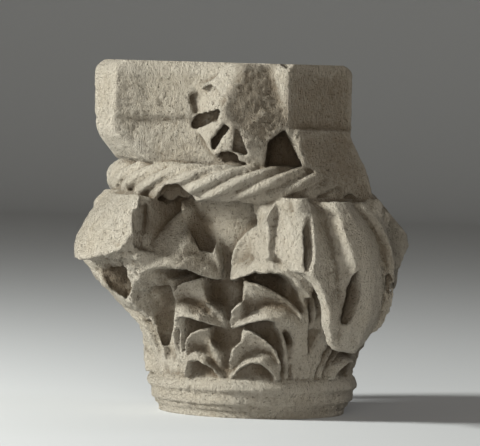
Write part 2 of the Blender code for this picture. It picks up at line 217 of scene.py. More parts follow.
EYELET_LINES = (
    (UPPER_RIDGE, ((40, 102), (64, 111), (82, 119), (100, 128), (114, 135), (129, 146)), 2.4),
    (UPPER_RIM, ((92, 121), (98, 125), (111, 132), (120, 139), (130, 148)), 1.7),
    (LOWER_RIDGE, ((40, 101), (55, 107), (68, 112), (82, 117), (95, 122)), 2.2),
    (LOWER_RIM, ((70, 113), (76, 116), (82, 118), (89, 121), (95, 124)), 1.5),
)
UPPER_LINES = 2
BELL = ((30, 88), (45, 86.5), (80, 88), (120, 92), (160, 99), (190, 107), (215, 114), (262, 118))
LEAF_BACK = ((38, 96), (60, 103), (80, 110), (98, 119), (110, 126), (130, 140), (150, 156), (170, 165))
HEAD_OUT = (
    (64, 160), (70, 167), (78, 174), (88, 181), (100, 187), (120, 193), (140, 195), (150, 195),
    (162, 194), (174, 191), (186, 187), (198, 182), (206, 177), (213, 171), (220, 163),
)
# hollows in the left front leaf: bearing, height, half-width in degrees, half-height, depth
LEFT_HOLLOWS = ((-28, 216, 11, 20, 46), (-10, 191, 7.5, 24, 22), (-49, 143, 10, 19, 17))
# the swollen back of that leaf: height, radius
LEFT_SWELL = (
    (84, 104), (90, 114), (98, 124), (104, 134), (114, 145), (127, 158), (135, 165), (150, 174), (200, 174),
)
LEFT_FLOOR_R = 98
UPPER_WEB = 34
LOWER_WEB = 15
FOOT_BANK = 13
FLUTE_DEPTH = 13
STEM_RELIEF = 3.2
STEM_STEP = 3.9
FOOT_GROOVE = 9
HEAD_SINK = 16
COLUMNS = 1440
ROWS = 240
LEAF_TOP = 219


def leaf_surface(phi, z, narrow, crisp=0.7):
    """Carved surface between ring and rope; phi runs from a seam (0) to a leaf's midrib (45)."""
    side = np.where(narrow, phi + 0.9 * np.maximum(phi - 18, 0), phi)
    ground = at(BELL, z) + FOOT_BANK * (1 - ease(41, 52, z)) * ease(11, 17, phi)
    web = ease(25, 30, side) * UPPER_WEB * ease(104, 112, z) * (1 - ease(134, 140, z))
    web = web + ease(19, 25, side) * LOWER_WEB * ease(64, 70, z) * (1 - ease(97, 101, z))
    inner = np.where(z > 98, at(UPPER_RIM, z), at(UPPER_RIDGE, z))
    form = ground + web * (side < inner)
    hole = (side > at(UPPER_RIDGE, z)) & (side < at(UPPER_RIM, z)) & (z > 101) & (z < 130) & ~narrow
    hole = hole | ((side > at(LOWER_RIDGE, z)) & (side < at(LOWER_RIM, z)) & (z > 75) & (z < 95))
    form = np.where(hole, ground - 2, form)
    back = at(LEAF_BACK, z)
    flute = np.sin(np.pi * np.clip((phi - 29) / 13, 0, 1)) ** 0.7
    flute = flute * ease(46, 66, z) * (1 - ease(128, 142, z))
    stems = np.abs(np.sin(np.pi * (phi - 29) / STEM_STEP)) * (1 - ease(54, 84, z))
    back = np.where(narrow, back - FLUTE_DEPTH * flute + STEM_RELIEF * stems, back)
    form = form + (back - form) * ease(-0.3, 0.6, side - inner)
    stem = (side > at(LOWER_RIDGE, z)) & (side < 36.2) & (z < 75)
    form = np.where(stem, at(LEAF_BACK, z) + 1, form)
    for lobe in reversed(SIDE_LOBES):
        place = phi if lobe is SIDE_LOBES[0] else side
        up, low = at(lobe["top"], place), at(lobe["low"], place)
        mid = np.clip(at(lobe["hollow"], place), low + 1, np.maximum(up - 1, low + 1.5))
        up_r, mid_r, low_r = (at(lobe[key], place) for key in ("top_r", "hollow_r", "low_r"))
        belly = low_r + (mid_r - low_r) * np.clip((z - low) / (mid - low), 0, 1) ** 2.2
        face = mid_r + (up_r - mid_r) * np.clip((z - mid) / np.maximum(up - mid, 1), 0, 1) ** 0.8
        face = face + lobe["rim"] * ease(up - 4.5, up - 1.8, z)
        radius = np.minimum(np.where(z < mid, belly, face), at(lobe["cap"], z))
        first, last = lobe["span"]
        live = ease(-crisp, 0, z - low) * (1 - ease(0, crisp, z - up))
        live = live * ease(first - 0.5, first, place) * (1 - ease(last - 0.5, last + 0.2, place))
        form = form + (radius - form) * live * (radius > form)
    for number, (path, radii, half) in enumerate(EYELET_LINES):
        away = np.abs(side - at(path, z)) * 2.1
        high = at(radii, z) - 1.5 * (away / half) ** 2
        live = (1 - ease(half, half + crisp, away)) * (z < path[-1][0] + 1) * (z > path[0][0] - 1)
        live = live * ~(narrow & (number < UPPER_LINES))
        form = np.maximum(form, form + (high - form) * live)
    form = form - FOOT_GROOVE * (1 - ease(0.5, 1.2, np.abs(side - 36.6))) * (z < 56)
    sunk = 1.5 + HEAD_SINK * ease(31, 34, phi) * ease(188, 200, z)
    return np.minimum(form, at(HEAD_OUT, z) / np.cos(np.radians(45 - phi)) - sunk)


# what has broken or worn away on the two flanks: how far they reach, square to the bearing of the breaks
BREAK_BEARING = 15.0
RIGHT_REACH = (
    (40, 100), (62, 107), (78, 115), (90, 127), (108, 138), (125, 143), (148, 145), (168, 154), (180, 152),
    (190, 143), (206, 129), (225, 112),
)
LEFT_REACH = (
    (40, 107), (76, 111), (88, 116), (101, 131), (120, 146), (131, 160), (141, 164), (150, 177), (163, 183),
    (178, 180), (200, 168), (225, 146),
)


def trimmed(points):
    """The points brought in to the reach of the broken flanks."""
    over = placed(BREAK_BEARING, 0.0, 1.0, 0.0)
    reach = points @ over
    high = points[..., 2]
    kept = np.clip(reach, -at(LEFT_REACH, high), at(RIGHT_REACH, high))
    return points + (kept - reach)[..., None] * over


angles = np.arange(COLUMNS) * 360 / COLUMNS
grid_a, grid_z = np.meshgrid(angles, np.linspace(RING_TOP + 1, LEAF_TOP, ROWS))
signed = (grid_a + 180) % 360 - 180
seam = 1.2 * np.exp(-(((grid_z - 98) / 20) ** 2)) * (np.abs(signed) < 25)
fold = 45 - np.abs(((grid_a - seam) % 90) - 45)
radius = leaf_surface(fold, grid_z, (signed > -45) & (signed < 0))
swell = ease(-92, -84, signed) * (1 - ease(-44, -38, signed)) * (grid_z < 170)
radius = np.maximum(radius, np.minimum(at(LEFT_SWELL, grid_z), at(HEAD_OUT, grid_z) - 2) * swell)
for bearing, high, wide, tall, depth in LEFT_HOLLOWS:
    away = np.hypot((signed - bearing) / wide, (grid_z - high) / tall)
    radius = np.maximum(radius - depth * (1 - ease(0.35, 1, away)), LEFT_FLOOR_R)
rings = trimmed(placed(grid_a, radius, 0 * radius, grid_z))
ends = [placed(angles, np.full(COLUMNS, 70.0), 0 * angles, z) for z in (RING_TOP + 1, LEAF_TOP)]
leaf_band = closed_stack("leaves", [ends[0], *rings, ends[1]])

# The curled heads. Above its lobes each leaf rolls forward and down. Sharp folds run down the curl between
# the lobes' ends, with drilled slits in two of them. Each line across the curl gives where it runs
# (height, distance across) and how deep it lies below the smooth curl (height, depth).
FOLDS = (
    (((70, -64), (213, -68)), ((70, 30), (213, 30))),
    (
        ((70, -52), (150, -51), (180, -52), (213, -57)),
        ((70, 16), (130, 10), (155, 4), (180, 2), (213, 4)),
    ),
    (
        ((70, -24), (105, -34), (130, -41), (150, -48), (213, -45)),
        ((70, 12), (105, 8), (130, 4), (155, 1), (213, 2)),
    ),
    (
        ((70, -8), (85, -13), (105, -19), (130, -28), (150, -41.5), (180, -40), (213, -36)),
        ((70, 4), (130, 3), (155, 0), (213, 1)),
    ),
    (
        ((70, -3), (100, -6), (124, -10), (151, -13), (176, -16), (198, -19), (213, -22)),
        ((70, 4), (100, 10), (130, 16), (155, 19), (185, 19), (213, 17)),
    ),
    (
        ((70, 2), (105, -1), (130, 0), (146, 0), (162, -4), (181, -8), (203, -12)),
        ((70, 3), (105, 1), (213, 0)),
    ),
    (
        ((70, 16), (85, 19), (109, 18), (137, 15.5), (154, 14), (176, 11), (193, 5), (209, 0)),
        ((70, 2), (105, 0), (213, 0)),
    ),
    (
        ((70, 30), (85, 38), (105, 47), (125, 48), (156, 46.5), (172, 44.5), (186, 38), (200, 29), (211, 19)),
        ((70, 12), (105, 16), (155, 16), (185, 17), (213, 15)),
    ),
    (
        ((70, 40), (105, 52), (125, 52.5), (156, 51), (172, 49), (186, 42.5), (200, 33.5), (211, 23.5)),
        ((70, 12), (105, 7), (155, 6), (185, 4), (213, 3)),
    ),
    (((70, 62), (150, 62), (213, 50)), ((70, 30), (130, 16), (213, 14))),
    (((70, 70), (213, 64)), ((70, 34), (213, 34))),
)
LEFT_FOLDS = (
    (((140, -68), (213, -72)), ((140, 28), (213, 32))),
    (((140, -52), (213, -52)), ((140, 0), (175, -2), (213, 9))),
    (((140, -22), (213, -10)), ((140, 1), (168, -4), (190, -1), (213, 5))),
    (((140, -2), (162, 4), (179, 18), (192, 33), (213, 40)), ((140, 0), (200, 0), (213, 3))),
    (((140, 44), (213, 50)), ((140, 8), (185, 7), (213, 4))),
    (((140, 53), (213, 54)), ((140, 9), (185, 7), (213, 3))),
    (((140, 54.5), (213, 55.5)), ((140, 38), (213, 34))),
    (((140, 66), (213, 66)), ((140, 40), (213, 36))),
)
BOW = ((-70, 39), (-45, 16), (-30, 7), (-15, 1.8), (0, 0), (20, 1.6), (35, 5), (50, 10), (70, 19))
# the drilled slits: height, distance across the middle, half-width
NEAR_SLIT = (
    (148, -44.5, 0), (151, -44.5, 1.2), (160, -43.5, 3.2), (174, -42, 3.4), (187, -41.5, 3.2),
    (202, -38, 1.2), (205, -38, 0),
)
NEAR_SLIT_DEPTH = 26
MIDDLE_SLIT = ((98, -2, 0), (104, -2, 3), (119, 0, 5), (133, 1.5, 5.6), (147, 2.5, 4), (153, 3, 0))
MIDDLE_SLIT_DEPTH = 44
# how far down each leaf survives: distance across, height of the lower edge
WHOLE = (
    (-66, 212), (-60, 186), (-56, 160), (-52, 130), (-46, 94), (-32, 80), (-20, 72), (20, 72), (32, 80),
    (46, 94), (52, 130), (56, 160), (60, 186), (66, 212),
)
RIGHT = (
    (-68, 190), (-60, 166), (-52, 150), (-44, 146), (-36, 138), (-30, 129), (-24, 112), (-20, 95), (-10, 80),
    (0, 72), (20, 70), (24, 72), (32, 80), (38, 87), (46, 92), (50, 100), (54, 120), (61, 160), (66, 190),
)
LEFT = (
    (-66, 200), (-50, 168), (-44, 160), (-35, 153), (-9, 151), (15, 154), (30, 158), (45, 164), (50, 171),
    (53, 182), (56, 197), (66, 202),
)
REAR = ((-66, 200), (-54, 172), (-38, 152), (-20, 142), (0, 132), (20, 128), (40, 150), (58, 176), (66, 212))
# bearing, what survives, folds, and which way the folds are counted across
HEADS = ((-135, WHOLE, FOLDS, -1), (-45, LEFT, LEFT_FOLDS, 1), (45, RIGHT, FOLDS, 1), (135, REAR, FOLDS, 1))


def fold_depth(lines, q, z):
    """Depth below the smooth curl, in straight facets from one line to the next."""
    spots = [at(path, z) for path, _ in lines]
    depths = [at(depth, z) for _, depth in lines]
    result = depths[0]
    for k in range(len(lines) - 1):
        share = np.clip((q - spots[k]) / np.maximum(spots[k + 1] - spots[k], 0.5), 0, 1)
        result = result + (depths[k + 1] - depths[k]) * share
    return result


def slit_depth(slit, q, z, depth):
    high, middle, half = zip(*slit)
    wide = np.interp(z, high, half, left=0, right=0)
    away = np.abs(q - np.interp(z, high, middle))
    return depth * (1 - ease(wide - 0.9, wide + 0.5, away)) * (wide > 0.6)


HEAD_STATIONS = 201
HEAD_ROWS = 130
HEAD_TOP = 217
LEAST_OUT = 100
REAR_OUT = 170
REAR_SLANT = 0.25
heads = []
for bearing, survives, folds, hand in HEADS:
    stations = []
    for q in np.linspace(-68, 66, HEAD_STATIONS):
        side = q * hand
        tip = float(at(survives, q))
        line_z = np.linspace(HEAD_TOP, tip, HEAD_ROWS)
        outer = at(HEAD_OUT, line_z) - at(BOW, side) - fold_depth(folds, side, line_z)
        if folds is FOLDS:
            outer = outer - slit_depth(NEAR_SLIT, side, line_z, NEAR_SLIT_DEPTH)
            outer = outer - slit_depth(MIDDLE_SLIT, side, line_z, MIDDLE_SLIT_DEPTH)
        if survives is REAR:
            outer = np.minimum(outer, REAR_OUT + REAR_SLANT * q)
        back_z = np.linspace(tip, 154, 30)
        thick = 17 + 16 * (back_z - tip) / 60
        inner = np.minimum(at(HEAD_OUT, back_z) - at(BOW, side) - thick, outer[-1] - 13)
        inner = np.minimum(inner, np.interp(back_z, line_z[::-1], outer[::-1]) - 4)
        root = 104 + 36 * float(ease(44, 56, abs(q)))
        section = [*zip(outer, line_z), *zip(inner, back_z), (root, 160), (root, 205)]
        stations.append([placed(bearing, max(p, LEAST_OUT), q, z) for p, z in section])
    heads.append(closed_stack("curled head", trimmed(np.array(stations))))

# The slab. Two tiers with hollow sides and cut corners, the lower one set back by a few millimetres. Under
# each corner, where a scroll was, only a stub slopes back towards the neck. All its arrises are worn.
SIDE_NEAR = 119.0
SIDE_CURVE_R = 312.0
SIDE_STATIONS = 33
# height, set-back of the sides, half-length of a side up to the cut corner
SLAB_LEVELS = (
    (244, 20, 58), (247, 7, 68), (251, 4, 79), (262, 3, 94), (275, 2.6, 108), (287, 2.6, 114),
    (291, 4.2, 113), (292.6, 4.2, 110.7), (293.4, 0.3, 110.7), (297, 0, 110.7), (338, 0, 110.7),
    (343, 1.2, 109.5), (346, 3.4, 107.5), (347.6, 6.5, 104.5), (351, 8, 103),
)


def slab_level(z, inset, reach):
    points = []
    for bearing in (0, 90, 180, 270):
        for t in np.linspace(-reach, reach, SIDE_STATIONS):
            out = SIDE_NEAR + SIDE_CURVE_R - math.sqrt(SIDE_CURVE_R**2 - t * t) - inset
            points.append(placed(bearing, out, t, z))
    return points


slab = closed_stack("slab", [slab_level(*level) for level in SLAB_LEVELS])

# The roses. One sits in the middle of each side of the slab, eight petals with raised ribs between them.
# The front one stands left of the middle of what survives: its right half was sliced away with a toothed
# chisel, and four petals are left as deep pockets on its left side.
ROSE_T = 15.0
ROSE_Z = 292.0
ROSE_OUT = 148.0
ROSE_BACK = 88.0
ROSE_FOOT = 246.0
PETAL_DEPTH = 13
ROSE_REACH = (
    (-60, 51), (-34, 38), (-10, 50), (10, 62), (45, 74), (90, 60), (107, 55), (124, 48), (142, 52), (165, 43),
    (187, 46), (209, 39), (232, 42), (255, 36), (277, 39), (300, 51), (326, 38), (350, 50),
)
PLAIN_REACH = ((0, 48), (360, 48))


def slice_out(t, z):
    """How far out the sliced face lies."""
    return 152.0 - 0.455 * t - 0.255 * (z - 290)


def rose_face(t, z, centre_t, reach):
    spoke = np.degrees(np.arctan2(z - ROSE_Z, t - centre_t)) % 360
    spread = np.hypot(t - centre_t, z - ROSE_Z)
    edge = at(reach, spoke)
    face = ROSE_OUT - 17 * ease(12, 52, spread)
    return np.where(spread > edge, face - 70 * ease(0, 3, spread - edge), face)


def petals(t, z):
    spoke = np.degrees(np.arctan2(z - ROSE_Z, t)) % 360
    spread = np.hypot(t, z - ROSE_Z)
    step = spoke / 45 + 0.5
    ridge = np.abs(step - np.round(step)) * 2
    hollow = np.clip((1 - ridge) * 1.5, 0, 1) * ease(8, 18, spread)
    return PETAL_DEPTH * hollow * (1 - 0.7 * ease(40, 46, spread))


roses = []
for bearing in (-180, -90, 0):
    rose_t, rose_z = np.meshgrid(np.linspace(-62, 78, 141), np.linspace(ROSE_FOOT, HEIGHT - 1, 103))
    if bearing:
        face = rose_face(rose_t, rose_z, 0.0, PLAIN_REACH) - petals(rose_t, rose_z)
    else:
        face = rose_face(rose_t, rose_z, ROSE_T, ROSE_REACH)
        face = np.minimum(face, slice_out(rose_t, rose_z))
    face = np.maximum(face, ROSE_BACK + 4)
    back_out = np.array([ROSE_BACK, ROSE_BACK])
    back_z = np.array([HEIGHT - 1, ROSE_FOOT])
    slices = []
    for col in range(rose_t.shape[1]):
        front = placed(bearing, face[:, col], rose_t[:, col], rose_z[:, col])
        back = placed(bearing, back_out, rose_t[:2, col], back_z)
        slices.append([*front, *back])
    roses.append(closed_stack("rose", slices))


# The rope. A cable moulding runs round the neck under the slab: six strands laid round one another, which
# read as a row of slanting ridges. Geometry Nodes wind one strand along the ring and turn the others from
# it. On the left the ridges have weathered to soft lumps.
def add_node(tree, kind, links=(), **settings):
    """A node with its settings, and its inputs linked from sockets or set to values."""
    node = tree.nodes.new(kind)
    for name, value in settings.items():
        setattr(node, name, value)
    for key, value in dict(links).items():
        if isinstance(value, bpy.types.NodeSocket):
            tree.links.new(value, node.inputs[key])
        else:
            node.inputs[key].default_value = value
    return node


def worked(tree, kind, *values):
    """The result of one arithmetic step on sockets or numbers."""
    return add_node(tree, "ShaderNodeMath", dict(enumerate(values)), operation=kind).outputs[0]


def node_inputs(tree, values):
    """The tree's own named inputs, as {label: socket identifier}, with a material input last."""
    face = tree.interface
    face.new_socket("Geometry", in_out="INPUT", socket_type="NodeSocketGeometry")
    kinds = {int: "NodeSocketInt", float: "NodeSocketFloat"}
    found = {}
    for label, value in values.items():
        socket = face.new_socket(label, in_out="INPUT", socket_type=kinds[type(value)])
        socket.default_value = value
        found[label] = socket.identifier
    face.new_socket("Material", in_out="INPUT", socket_type="NodeSocketMaterial")
    face.new_socket("Geometry", in_out="OUTPUT", socket_type="NodeSocketGeometry")
    return found


ROPE_R = 133.0
ROPE_Z = 231.0
ROPE_SIZES = {
    "Ring Radius": ROPE_R, "Height": ROPE_Z, "Strand Offset": 13.5, "Strand Radius": 5.1, "Turns": 5, "Strands": 6,
}
rope_tree = bpy.data.node_groups.new("cable moulding", "GeometryNodeTree")
rope_inputs = node_inputs(rope_tree, ROPE_SIZES)
given = rope_tree.nodes.new("NodeGroupInput").outputs
ring = add_node(rope_tree, "GeometryNodeCurvePrimitiveCircle", {"Resolution": 540, "Radius": given["Ring Radius"]})
along = add_node(rope_tree, "GeometryNodeSplineParameter").outputs["Factor"]
wind = worked(rope_tree, "MULTIPLY", worked(rope_tree, "MULTIPLY", along, given["Turns"]), 2 * math.pi)
sideways = worked(rope_tree, "MULTIPLY", worked(rope_tree, "COSINE", wind), given["Strand Offset"])
upwards = worked(rope_tree, "MULTIPLY_ADD", worked(rope_tree, "SINE", wind), given["Strand Offset"], given["Height"])
where = add_node(rope_tree, "GeometryNodeInputPosition").outputs[0]
outward = add_node(rope_tree, "ShaderNodeVectorMath", {0: where}, operation="NORMALIZE").outputs[0]
pushed = add_node(rope_tree, "ShaderNodeVectorMath", {0: outward, "Scale": sideways}, operation="SCALE").outputs[0]
lifted = add_node(rope_tree, "ShaderNodeCombineXYZ", {"Z": upwards}).outputs[0]
shift = add_node(rope_tree, "ShaderNodeVectorMath", {0: pushed, 1: lifted}, operation="ADD").outputs[0]
laid = add_node(rope_tree, "GeometryNodeSetPosition", {"Geometry": ring.outputs[0], "Offset": shift}).outputs[0]
section = add_node(rope_tree, "GeometryNodeCurvePrimitiveCircle", {"Resolution": 16, "Radius": given["Strand Radius"]})
strand = add_node(rope_tree, "GeometryNodeCurveToMesh", {"Curve": laid, "Profile Curve": section.outputs[0]}).outputs[0]
starts = add_node(rope_tree, "GeometryNodePoints", {"Count": given["Strands"]}).outputs[0]
ridges = worked(rope_tree, "MULTIPLY", given["Strands"], given["Turns"])
number = add_node(rope_tree, "GeometryNodeInputIndex").outputs[0]
turn = worked(rope_tree, "MULTIPLY", worked(rope_tree, "DIVIDE", number, ridges), 2 * math.pi)
angle = add_node(rope_tree, "ShaderNodeCombineXYZ", {"Z": turn}).outputs[0]
spun = add_node(rope_tree, "FunctionNodeEulerToRotation", {0: angle})
copies = add_node(
    rope_tree, "GeometryNodeInstanceOnPoints", {"Points": starts, "Instance": strand, "Rotation": spun.outputs[0]}
).outputs[0]
whole_rope = add_node(rope_tree, "GeometryNodeRealizeInstances", {"Geometry": copies}).outputs[0]
rope_stone = add_node(rope_tree, "GeometryNodeSetMaterial", {"Geometry": whole_rope, "Material": given["Material"]})
add_node(rope_tree, "NodeGroupOutput", {"Geometry": rope_stone.outputs[0]})
rope = shown("rope", bpy.data.meshes.new("rope"))
winding = rope.modifiers.new("winding", "NODES")
winding.node_group = rope_tree
for label, value in ROPE_SIZES.items():
    winding[rope_inputs[label]] = value
rope = settle(rope)
bpy.ops.mesh.primitive_torus_add(
    major_radius=ROPE_R, minor_radius=7.5, major_segments=180, minor_segments=16, location=(0, 0, ROPE_Z)
)
rope_heart = settle(bpy.context.object)

around = np.radians(np.arange(24) * 15)
worn_rope = closed_stack(
    "worn rope",
    [
        placed(bearing, ROPE_R + thick * np.cos(around), 0 * around, ROPE_Z + thick * np.sin(around))
        for bearing, thick in ((-84, 10), (-78, 15), (-66, 16), (-58, 15.6), (-52, 14), (-47, 8))
    ],
)


# The breaks. The right front corner was dressed off with a chisel on a slope that runs down through the
# rope, the right side of the slab has come away, and lesser pieces are lost from the front. Outlines are
# given as (across, height), square to the bearing of the breaks.
def wedge(name, bearing, line):
    rings = []
    for across in (-220, 220):
        face = [placed(bearing, d, across, z) for z, d in line]
        face += [placed(bearing, 300, across, line[-1][0]), placed(bearing, 300, across, line[0][0])]
        rings.append(face)
    return closed_stack(name, rings)


def prism(name, outline, near, far, narrowed=1.0):
    """A straight block of that outline between two distances out; the far one may be given point by point."""
    points = np.array(outline, float)
    middle = points.mean(0)
    inside = middle + (points - middle) * narrowed
    deep = placed(BREAK_BEARING, np.broadcast_to(far, len(points)), inside[:, 0], inside[:, 1])
    return closed_stack(name, [deep, placed(BREAK_BEARING, near, points[:, 0], points[:, 1])])


def cut_by(obj, tools):
    for tool in tools:
        cut = obj.modifiers.new(tool.name, "BOOLEAN")
        cut.operation = "DIFFERENCE"
        cut.solver = "EXACT"
        cut.object = tool
    return settle(obj)


CORNER_BREAK = ((205, 153), (220, 151), (238, 149), (250, 145), (284, 137), (286, 132), (345, 131), (360, 130))
SIDE_BREAK = (
    (205, 114), (212, 113), (238, 108), (250, 103), (260, 98), (272, 92), (279, 89),
    (338, 88.5), (343, 87), (346, 83), (349, 77), (360, 50),
)
# what is left of the scroll that hung over the rope at the right front corner
CORNER_STUB = ((36, 300), (48, 249), (66, 238), (97, 220), (108, 207), (128, 204), (128, 300))
# where the rope has gone with the corner: outline, and how far out the break lies at each point
ROPE_BREAK = ((48, 249), (66, 238), (97, 220), (140, 205), (140, 300), (48, 300))
ROPE_BREAK_OUT = (140, 134, 118, 96, 75, 128)
# each petal's outline, and how far out its floor lies at each point
PETAL_POCKETS = (
    (((-70, 315), (-48, 327), (-32, 312), (-38, 303), (-64, 297)), (98, 120, 132, 126, 103)),
    (((-67, 287), (-61, 297), (-37, 303), (-40, 291), (-63, 282)), (92, 95, 106, 106, 95)),
    (((-47, 273), (-35, 289), (-28, 286), (-45, 260)), (104, 118, 120, 104)),
    (((-26, 263), (-24, 285), (-20, 284), (-10, 258)), (126, 140, 142, 126)),
    (((-39, 261), (-29, 263), (-20, 259), (-18, 250), (-35, 250)), 108),
)
RECESS = ((7, 274), (24, 288), (44, 250), (42, 246), (4, 247))
CAVITY = ((-101, 206), (-99, 222), (-92, 231), (-77, 233), (-70, 226), (-58, 218), (-52, 205), (-62, 196), (-90, 196))
NOTCH = ((17, 350), (24, 343), (31, 350))
RING_CRACK = ((-63.5, 31), (-60, 33), (-60.6, 8), (-62.4, 6))

# flat cuts in the left front leaf and a hole in the right one: outline, then the distance out of the cut's
# floor at the middle of the block's foot, and how much that grows with each millimetre across and up
LEAF_CUTS = (
    (((-108, 163), (-87, 189), (-74, 202), (-64, 182), (-55, 164), (-81, 157)), 247.4, 0.2, -0.7),
    (((-74, 202), (-44, 203), (-36, 181), (-42, 162), (-55, 164), (-64, 182)), 78, -0.3, 0),
    (((-115, 218), (-74, 219), (-74, 202), (-87, 189), (-107, 164), (-115, 163)), 111, 0, 0),
    (((-121, 200), (-107, 210), (-107, 188), (-112, 164), (-119, 166)), -93.8, -1.8, 0),
    (((-104, 214), (-74, 215), (-74, 202), (-87, 189), (-106, 165), (-104, 188)), -5.3, -1.1, 0),
    (((-154, 140), (-126, 147), (-120, 125), (-125, 112), (-140, 120)), 52, 0, 0),
    (((-102, 127), (-83, 130), (-77, 114), (-79, 85), (-83, 67), (-90, 67), (-96, 89), (-102, 112)), 14, 0, 0.5),
    (((125, 147), (131, 149), (134, 138), (131, 126), (126, 130)), 116, 0, 0),
)


def leaf_cut(outline, start, across, up):
    return prism("leaf cut", outline, 230, [start + across * x + up * z for x, z in outline])


wedges = [wedge("corner break", 45, CORNER_BREAK), wedge("side break", 105, SIDE_BREAK)]
corner_stub = prism("corner stub", CORNER_STUB, 175, 0)
pockets = [prism("petal pocket", outline, 175, floor) for outline, floor in PETAL_POCKETS]
recess = prism("recess", RECESS, 190, 96, 0.85)
cavity = prism("cavity", CAVITY, 220, 104, 0.8)
notch = prism("notch", NOTCH, 220, 40)
rope_break = prism("rope break", ROPE_BREAK, 220, ROPE_BREAK_OUT)
ring_crack = prism("ring crack", RING_CRACK, 140, 82)
leaf_cuts = [leaf_cut(*sizes) for sizes in LEAF_CUTS]
leaf_cuts.append(prism("cavity in the leaf", CAVITY, 220, 104, 0.8))


def fused(name, parts, grain, soften=0):
    """Overlapping closed solids made one outer surface, by a voxel remesh."""
    total = bmesh.new()
    for part in parts:
        total.from_mesh(part.data)
        bpy.data.objects.remove(part)
    mesh = bpy.data.meshes.new(name)
    total.to_mesh(mesh)
    total.free()
    obj = shown(name, mesh)
    fuse = obj.modifiers.new("fuse", "REMESH")
    fuse.mode = "VOXEL"
    fuse.voxel_size = grain
    if soften:
        wear = obj.modifiers.new("wear", "SMOOTH")
        wear.factor = 0.5
        wear.iterations = soften
    return settle(obj)


upper = fused("slab and neck", [neck, slab, corner_stub], 2.0, soften=2)
upper = cut_by(fused("slab and roses", [upper, *roses], 1.8), [*wedges, *pockets, recess, cavity, notch])
rope = cut_by(fused("rope", [rope, rope_heart, worn_rope], 1.5), [wedges[1], rope_break, cavity])
foot_and_bell = cut_by(foot_and_bell, [ring_crack])
for tool in [*wedges, *pockets, recess, cavity, notch, rope_break, ring_crack]:
    bpy.data.objects.remove(tool)
GRAIN = 1.5
leaf_tool = fused("leaf cuts", leaf_cuts, 1.2)
leaves = cut_by(fused("leaves", [leaf_band, heads[1], heads[2]], 1.5), [leaf_tool])
bpy.data.objects.remove(leaf_tool)
capital = fused("capital", [foot_and_bell, leaves, heads[0], heads[3], upper, rope], GRAIN)

# The weathering. Rain and breakage have left the stone pitted and slightly lumpy all over, roughest where
# it has broken, and the chisel has left short strokes on the two dressed breaks. Two attributes say where;
# Geometry Nodes then push the fused surface in and out along its normal, so that the wear is in the mesh.
# across, height, half-width, half-height of the rough breaks seen from the bearing of the breaks
ROUGH_BREAKS = (
    (-138, 178, 14, 34), (-120, 150, 16, 22), (-116, 122, 16, 30), (-104, 98, 14, 14), (-110, 172, 14, 10),
    (72, 140, 9, 34), (88, 92, 14, 20), (128, 142, 16, 34), (-60, 150, 34, 9), (12, 152, 30, 9),
    (-40, 104, 26, 9), (-45, 60, 22, 8), (-150, 140, 12, 20), (4, 300, 8, 30), (-44, 296, 12, 30),
)
# the same for the hollows whose colour is darkened as painted shade
SHADED_HOLLOWS = (
    (-92, 105, 12, 30), (-82, 216, 20, 18), (-98, 195, 16, 22), (-56, 184, 15, 20), (-140, 132, 14, 16),
    (-48, 118, 30, 16), (30, 122, 40, 16), (-40, 76, 24, 12), (24, 76, 26, 14), (-36, 50, 18, 10), (16, 50, 18, 10),
    (-8, 130, 8, 30), (84, 66, 22, 22), (55, 186, 8, 26), (92, 118, 12, 26), (20, 262, 22, 22),
)


def share_inside(across, high, spots):
    found = np.zeros_like(across)
    for x, z, wide, tall in spots:
        found = np.maximum(found, 1 - ease(0.6, 1.3, np.hypot((across - x) / wide, (high - z) / tall)))
    return found


def set_share(mesh, name, values):
    mesh.attributes.new(name, "FLOAT", "POINT").data.foreach_set("value", values.astype(np.float32))


mesh = capital.data
points = np.empty(len(mesh.vertices) * 3)
mesh.vertices.foreach_get("co", points)
points = points.reshape(-1, 3)
across = points @ placed(BREAK_BEARING, 0.0, 1.0, 0.0)
out = points @ placed(BREAK_BEARING, 1.0, 0.0, 0.0)
high = points[:, 2]
set_share(mesh, "broken", share_inside(across, high, ROUGH_BREAKS) * (out > 0))
set_share(mesh, "shade_spots", share_inside(across, high, SHADED_HOLLOWS) * (out > 0))
on_slice = 1 - ease(1.5, 4, np.abs(-points[:, 1] - slice_out(points[:, 0], high)))
on_slice = on_slice * (across > -52) * (across < 26) * (high > 250)
corner_out = points @ placed(45.0, 1.0, 0.0, 0.0)
on_corner = 1 - ease(1.5, 4, np.abs(corner_out - at(CORNER_BREAK, high)))
on_corner = on_corner * (high > 206) * (across > 20)
set_share(mesh, "tooled", np.maximum(on_slice, on_corner))

WEAR_SIZES = {
    "Lump Size": 26.0, "Lump Height": 0.7, "Grain Size": 4.5, "Grain Height": 0.6, "Pit Size": 6.0, "Pit Depth": 1.1,
    "Break Size": 8.0, "Break Height": 2.0, "Stroke Width": 3.4, "Stroke Depth": 0.5,
}
wear_tree = bpy.data.node_groups.new("stone weathering", "GeometryNodeTree")
wear_inputs = node_inputs(wear_tree, WEAR_SIZES)
given = wear_tree.nodes.new("NodeGroupInput").outputs
place = add_node(wear_tree, "GeometryNodeInputPosition").outputs[0]


